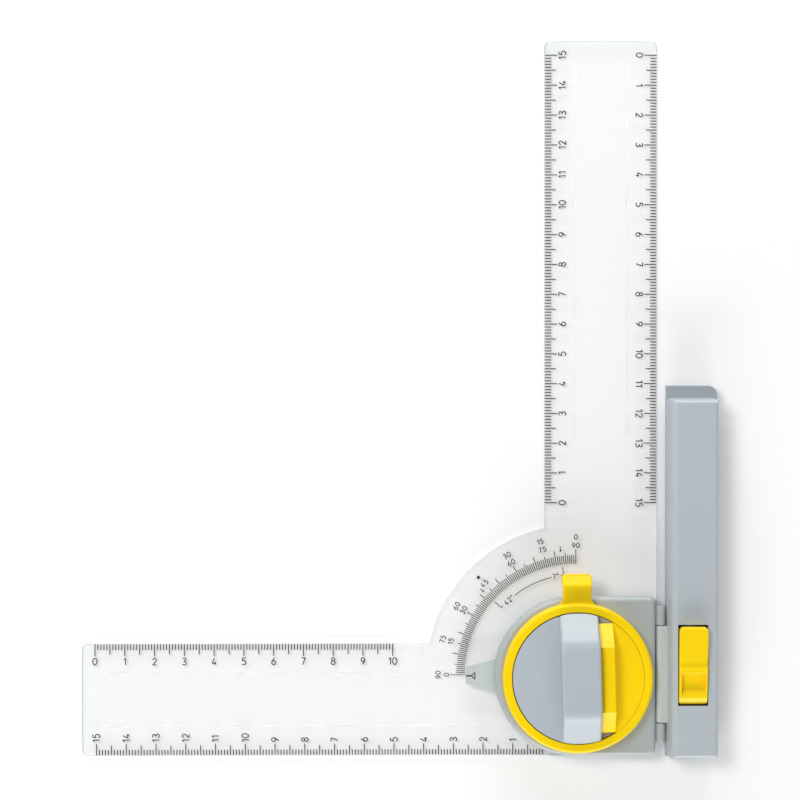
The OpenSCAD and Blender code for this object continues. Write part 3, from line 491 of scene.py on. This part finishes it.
def square_shell():
    """The clear square: polished on its faces, sawn on its sides, with its two ends broken."""
    bm = merged_copy("drafting_square", *OPENING_CUTS)
    round_off(bm, corners(bm, lambda x, y, z: z > EDGE_TOP - 0.1
                          and (y > SQUARE_FAR_Y or x < SQUARE_FAR_X)), radius=0.32, steps=1)
    # Steep sides take the sawn edge material, whose grey is painted shade for the outline
    for face in bm.faces:
        if abs(face.normal.z) < SAWN_SLOPE:
            face.material_index = 1
    piece = finished(bm, "square_shell", acrylic, "square", "clear_acrylic", "drafting_square",
                     crease=4.5)
    piece.data.materials.append(cut_acrylic)


housing_shell()
shoe_shell()
knuckle_shell()
pointer_shell()
ring_shell()
knob_shell()
lever_shell()
rocker_shell()
square_shell()


# Print on the sheet and the pointer. Each stroke is a thin ribbon of ink that lies on its surface.

# The pen's width, the ink's thickness, and the share of the pen's width for ticks and finer marks
STROKE = 0.36
INK_T = 0.04
TICK_WIDTH = 0.95
FINE = 0.8
FINEST = 0.75
# Heights of the numerals, the gap between two as a share of their height, and how far in from the
# edge the ticks start and the numerals stand, upright or across the scale
NUMERAL_H = 2.65
ANGLE_NUMERAL_H = 1.9
NUMERAL_GAP = 0.17
TICK_START = 0.12
UPRIGHT_IN = 5.95
ACROSS_IN = 4.6
CENTIMETRE = 10
# Radii of the angle marks on the quadrant: the ticks' starts and their three ends, the two rows of
# numerals, the foot of the arc's end lines, and the arc
TICK_R = 37.3
TICK_ENDS = (40.2, 41.0, 42.1)
OUTER_ROW_R = 46.3
INNER_ROW_R = 43.5
ARC_END_R = 36.5
ARC_R = 33.7
LINE, SOFT, LOOP = "line", "soft", "loop"
DEGREE = "\u00b0"
# Strokes of the numerals in a box 1 high, as a draughtsman's stencil draws them
NUMERALS = {
    "0": (0.56, [(LOOP, [(0, 0.3), (0, 0.7), (0.28, 1), (0.56, 0.7), (0.56, 0.3), (0.28, 0)])]),
    "1": (0.26, [(LINE, [(0, 0.78), (0.26, 1), (0.26, 0)])]),
    "2": (0.56, [(SOFT, [(0.02, 0.74), (0.28, 1), (0.54, 0.73), (0.4, 0.46), (0.02, 0.02)]),
                 (LINE, [(0.02, 0), (0.56, 0)])]),
    "3": (0.56, [(SOFT, [(0.04, 0.9), (0.28, 1), (0.51, 0.77), (0.22, 0.54)]),
                 (SOFT, [(0.22, 0.54), (0.56, 0.28), (0.26, 0), (0, 0.1)])]),
    "4": (0.58, [(LINE, [(0.34, 1), (0, 0.24), (0.58, 0.24)]), (LINE, [(0.42, 0.46), (0.42, 0)])]),
    "5": (0.56, [(LINE, [(0.52, 1), (0.09, 1), (0.05, 0.58)]),
                 (SOFT, [(0.05, 0.57), (0.3, 0.64), (0.56, 0.32), (0.28, 0), (0, 0.08)])]),
    "6": (0.56, [(SOFT, [(0.42, 1), (0.12, 0.62), (0, 0.3), (0.28, 0), (0.56, 0.3), (0.28, 0.58),
                         (0.03, 0.4)])]),
    "7": (0.54, [(LINE, [(0, 1), (0.54, 1), (0.18, 0)])]),
    "8": (0.56, [(LOOP, [(0.05, 0.77), (0.28, 1), (0.51, 0.77), (0.28, 0.54)]),
                 (LOOP, [(0, 0.27), (0.28, 0.54), (0.56, 0.27), (0.28, 0)])]),
    "9": (0.56, [(SOFT, [(0.14, 0), (0.44, 0.38), (0.56, 0.7), (0.28, 1), (0, 0.7), (0.28, 0.42),
                         (0.53, 0.6)])]),
    DEGREE: (0.24, [(LOOP, [(0, 0.88), (0.12, 1), (0.24, 0.88), (0.12, 0.76)])]),
}


def new_print(name):
    """A curve whose strokes have the ink's width."""
    curve = bpy.data.curves.new(name, "CURVE")
    curve.dimensions = "3D"
    curve.twist_mode = "Z_UP"
    curve.bevel_depth = STROKE / 2
    curve.bevel_resolution = 0
    curve.use_fill_caps = True
    curve.resolution_u = 4
    return curve


def stroke(curve, points, kind=LINE, width=1.0):
    """One stroke through points in millimetres, in straight runs or bent softly. width is its share
    of the usual width."""
    for run in zip(points, points[1:]) if kind == LINE else [points]:
        spline = curve.splines.new("POLY" if kind == LINE else "BEZIER")
        spots = spline.points if kind == LINE else spline.bezier_points
        spots.add(len(run) - 1)
        for spot, (x, y) in zip(spots, run):
            if kind == LINE:
                spot.co = (x, y, 0, 1)
            else:
                spot.co = (x, y, 0)
                spot.handle_left_type = spot.handle_right_type = "AUTO"
            spot.radius = width
        spline.use_cyclic_u = kind == LOOP


def write(curve, words, place, along, height, width=1.0, centred=True):
    """Writes numerals at a place, reading along a direction."""
    tall = height - STROKE * width
    gap = NUMERAL_GAP + STROKE * width / tall
    length = sum(NUMERALS[sign][0] for sign in words) + gap * (len(words) - 1)
    start = -length / 2 if centred else STROKE * width / tall / 2
    for sign in words:
        wide, strokes = NUMERALS[sign]
        for kind, points in strokes:
            stroke(curve, [(place[0] + tall * ((start + x) * along[0] - (y - 0.5) * along[1]),
                            place[1] + tall * ((start + x) * along[1] + (y - 0.5) * along[0]))
                           for x, y in points], kind, width)
        start += wide + gap


def printed(curve, lie, body):
    """Turns a print's strokes into thin ribbons and lays them on the surface whose frame is lie."""
    draft = bpy.data.objects.new(curve.name, curve)
    scene.collection.objects.link(draft)
    bpy.context.view_layer.update()
    shaped = draft.evaluated_get(bpy.context.evaluated_depsgraph_get())
    mesh = bpy.data.meshes.new_from_object(shaped)
    bpy.data.objects.remove(draft)
    flat = Matrix.Diagonal((MM, MM, 2 * INK_T / STROKE * MM, 1))
    raised = Matrix.Translation((0, 0, 0.8 * INK_T * MM))
    bm = bmesh.new()
    bm.from_mesh(mesh)
    bmesh.ops.transform(bm, matrix=lie @ raised @ flat, verts=bm.verts)
    bmesh.ops.recalc_face_normals(bm, faces=bm.faces)
    bm.to_mesh(mesh)
    bm.free()
    mesh.name = curve.name
    mesh.materials.clear()
    mesh.materials.append(ink)
    new_piece(curve.name, mesh, body)


def bevel_frame(zero, along, outward):
    """Frame of a scale on a bevel: X along the edge, Y out to the edge, Z off the surface."""
    tilt = math.atan((SHEET_TOP - EDGE_TOP) / BEVEL_W)
    x = Vector(along)
    y = Vector(outward) * math.cos(tilt) - Vector((0, 0, math.sin(tilt)))
    turn = Matrix((x, y, x.cross(y))).transposed().to_4x4()
    return Matrix.Translation(Vector((zero[0], zero[1], EDGE_TOP)) * MM) @ turn


def tick_end(mark, ends):
    """The end of a tick: the last of three at a ten, the middle one at a five, else the first."""
    return ends[2] if mark % 10 == 0 else ends[1] if mark % 5 == 0 else ends[0]


def ruler_scale(name, zero, along, outward, last, ends, across=False):
    """Millimetre scale along an edge from a zero on it, with a numeral at each centimetre."""
    curve = new_print(name)
    for mark in range(last * CENTIMETRE + 1):
        stroke(curve, [(mark, -TICK_START), (mark, -tick_end(mark, ends))], width=TICK_WIDTH)
    for number in range(last + 1):
        if across:
            write(curve, str(number), (number * CENTIMETRE, -ACROSS_IN), (0, -1), NUMERAL_H,
                  centred=False)
        else:
            write(curve, str(number), (number * CENTIMETRE, -UPRIGHT_IN), (1, 0), NUMERAL_H)
    printed(curve, bevel_frame(zero, along, outward), "square")


def polar(angle, radius):
    """Place at an angle in degrees, counted from the upright arm towards the level one."""
    return -radius * math.sin(math.radians(angle)), radius * math.cos(math.radians(angle))


def reading(angle):
    """Direction that a numeral at an angle reads along."""
    return math.cos(math.radians(angle)), math.sin(math.radians(angle))


def protractor_marks():
    """Angle marks on the quadrant: a tick for each degree, two rows of numerals, and the arc
    between the 7 and 48 degree marks."""
    curve = new_print("protractor_marks")
    for angle in range(91):
        stroke(curve, [polar(angle, TICK_R), polar(angle, tick_end(angle, TICK_ENDS))], width=FINE)
    for angle in range(0, 91, 15):
        if angle != 45:
            write(curve, str(angle), polar(angle, OUTER_ROW_R), reading(angle), ANGLE_NUMERAL_H,
                  FINE)
        write(curve, str(90 - angle), polar(angle, INNER_ROW_R), reading(angle), ANGLE_NUMERAL_H,
              FINE)
    arc_ends = ((7, "7" + DEGREE, 11.5, 1.6), (48, "42" + DEGREE, 41.9, -1.6))
    for angle, words, place, hook in arc_ends:
        write(curve, words, polar(place, ARC_R), reading(place), ANGLE_NUMERAL_H, FINE)
        stroke(curve, [polar(angle, ARC_END_R), polar(angle, ARC_R), polar(angle + hook, ARC_R)],
               width=FINEST)
    arc_start, arc_sweep, arc_steps = 13.9, 23.7, 6
    stroke(curve, [polar(arc_start + arc_sweep * i / arc_steps, ARC_R)
                   for i in range(arc_steps + 1)], SOFT, FINEST)
    for angle in (7, 48):
        stroke(curve, [polar(angle, TICK_ENDS[2]), polar(angle, INNER_ROW_R - 0.1)], width=FINEST)
    printed(curve, Matrix.Translation((0, 0, SHEET_TOP * MM)), "square")


def solid_mark(name, sides, radius, angle, turn, centre_r):
    """A filled mark of three or four sides, printed on the quadrant."""
    bm = bmesh.new()
    bmesh.ops.create_circle(bm, cap_ends=True, segments=sides, radius=radius * MM)
    raised = bmesh.ops.extrude_face_region(bm, geom=bm.faces[:])
    bmesh.ops.translate(bm, verts=[v for v in raised["geom"] if isinstance(v, bmesh.types.BMVert)],
                        vec=(0, 0, INK_T * MM))
    bmesh.ops.rotate(bm, verts=bm.verts,
                     matrix=Matrix.Rotation(math.radians(angle + turn), 3, "Z"))
    x, y = polar(angle, centre_r)
    bmesh.ops.translate(bm, verts=bm.verts, vec=(x * MM, y * MM, SHEET_TOP * MM))
    bmesh.ops.recalc_face_normals(bm, faces=bm.faces)
    mesh = bpy.data.meshes.new(name)
    bm.to_mesh(mesh)
    bm.free()
    mesh.materials.append(ink)
    new_piece(name, mesh, "square")


def index_mark():
    """The line and the small open triangle on the pointer that read the angle."""
    curve = new_print("index_mark")
    tip = (-35.2, -0.15)
    stroke(curve, [(-36.95, -0.15), tip], width=1.3)
    stroke(curve, [tip, (-34.0, 0.95), (-34.0, -1.25), tip], width=0.85)
    printed(curve, Matrix.Translation((0, 0, POINTER_TOP * MM)), "head")


def lens_ribs():
    """Low ribs along the lines where the bevels begin: a lens every 39 mm and fine ribs between."""
    lens_l, lens_w, lens_h = 10.0, 1.3, 0.3
    rib_gap, rib_w, rib_h = 11.5, 0.4, 0.14
    sunk, foot = 0.05, 0.06
    on_level_arm = [-154.9, -114.5, -76.5, -37.5]
    on_upright_arm = [201.5, 161.1, 123.1, 84.1]
    lines = [(y, on_level_arm, (1, 0)) for y in (0.5, -17.2)]
    lines += [(x, on_upright_arm, (0, 1)) for x in (-0.5, 17.2)]
    bm = bmesh.new()
    for offset, places, along in lines:
        shapes = [(place, lens_l, lens_w, lens_h) for place in places]
        shapes += [((a + b) / 2, abs(a - b) - rib_gap, rib_w, rib_h)
                   for a, b in zip(places, places[1:])]
        for place, length, width, height in shapes:
            lens = bmesh.ops.create_uvsphere(bm, u_segments=24, v_segments=12,
                                             radius=0.5 * MM)["verts"]
            size = (length, width, 2 * height) if along[0] else (width, length, 2 * height)
            bmesh.ops.scale(bm, verts=lens, vec=size)
            x, y = (place, offset) if along[0] else (offset, place)
            bmesh.ops.translate(bm, verts=lens, vec=(x * MM, y * MM, (SHEET_TOP - sunk) * MM))
    foot_cut = bmesh.ops.bisect_plane(bm, geom=bm.verts[:] + bm.edges[:] + bm.faces[:],
                                      plane_co=(0, 0, (SHEET_TOP - foot) * MM),
                                      plane_no=(0, 0, 1), clear_inner=True)
    rims = [edge for edge in foot_cut["geom_cut"] if isinstance(edge, bmesh.types.BMEdge)]
    bmesh.ops.holes_fill(bm, edges=rims)
    finished(bm, "lens_ribs", acrylic, "square", "clear_acrylic")


ruler_scale("scale_upright_left", (-ARM_INNER, 57.8), (0, 1, 0), (-1, 0, 0), 15, (2.3, 3.75, 4.25))
ruler_scale("scale_upright_right", (ARM_OUTER, 207.8), (0, -1, 0), (1, 0, 0), 15,
            (2.3, 3.75, 4.25))
ruler_scale("scale_level_top", (-161.55, ARM_INNER), (1, 0, 0), (0, 1, 0), 10, (2.1, 3.6, 4.2))
ruler_scale("scale_level_bottom", (-11.15, -ARM_OUTER), (-1, 0, 0), (0, -1, 0), 15,
            (2.0, 3.5, 4.0), True)
protractor_marks()
solid_mark("mark_45", 4, 0.75, 45, 45, OUTER_ROW_R)
solid_mark("mark_7", 3, 0.55, 7, -90, 42.0)
solid_mark("mark_48", 3, 0.55, 48, -90, 42.0)
index_mark()
lens_ribs()


def stage_floor():
    """A wide board just under the part, which keeps its shadow. Its half width is in metres."""
    half_width, gap = 2.5, 0.05
    bm = bmesh.new()
    bmesh.ops.create_grid(bm, x_segments=1, y_segments=1, size=half_width)
    bmesh.ops.translate(bm, verts=bm.verts, vec=(0, 0, -gap * MM))
    mesh = bpy.data.meshes.new("floor")
    bm.to_mesh(mesh)
    bm.free()
    mesh.materials.append(paper_board())
    floor = bpy.data.objects.new("floor", mesh)
    scene.collection.objects.link(floor)


def softbox(name, place, size, power):
    """A flat area lamp that faces the middle of the part. Its place and size are in metres."""
    aim = Vector((-0.03, 0.03, 0))
    data = bpy.data.lights.new(name, "AREA")
    data.shape = "RECTANGLE"
    data.size, data.size_y = size
    data.energy = power
    lamp = bpy.data.objects.new(name, data)
    lamp.location = place
    lamp.rotation_euler = (aim - Vector(place)).to_track_quat("-Z", "Y").to_euler()
    scene.collection.objects.link(lamp)


def studio():
    """A soft key over the upper left, and two low boxes, one past the far side and one nearer."""
    world = bpy.data.worlds.new("studio")
    world.use_nodes = True
    walls = world.node_tree.nodes["Background"].inputs
    walls["Color"].default_value = (1, 1, 1, 1)
    walls["Strength"].default_value = 0.34
    scene.world = world
    softbox("key", (-0.52, 0.42, 1.0), (0.4, 0.4), 4.9)
    softbox("far box", (-0.03, 1.15, 0.34), (1.2, 0.36), 10.2)
    softbox("near box", (-0.03, -1.05, 0.34), (1.2, 0.36), 11)
    scene.view_settings.view_transform = "Standard"


def photo_camera():
    """The photo's camera, which looks almost straight down from above the square's corner."""
    data = bpy.data.cameras.new("camera")
    data.sensor_width = 36
    data.lens = 108.9
    data.clip_start = 10 * MM
    camera = bpy.data.objects.new("camera", data)
    camera.location = (-66.8 * MM, 108.1 * MM, 813.3 * MM)
    camera.rotation_euler = [math.radians(a) for a in (-1.11, -0.55, -0.048)]
    scene.collection.objects.link(camera)
    scene.camera = camera


stage_floor()
studio()
photo_camera()

bpy.context.view_layer.update()
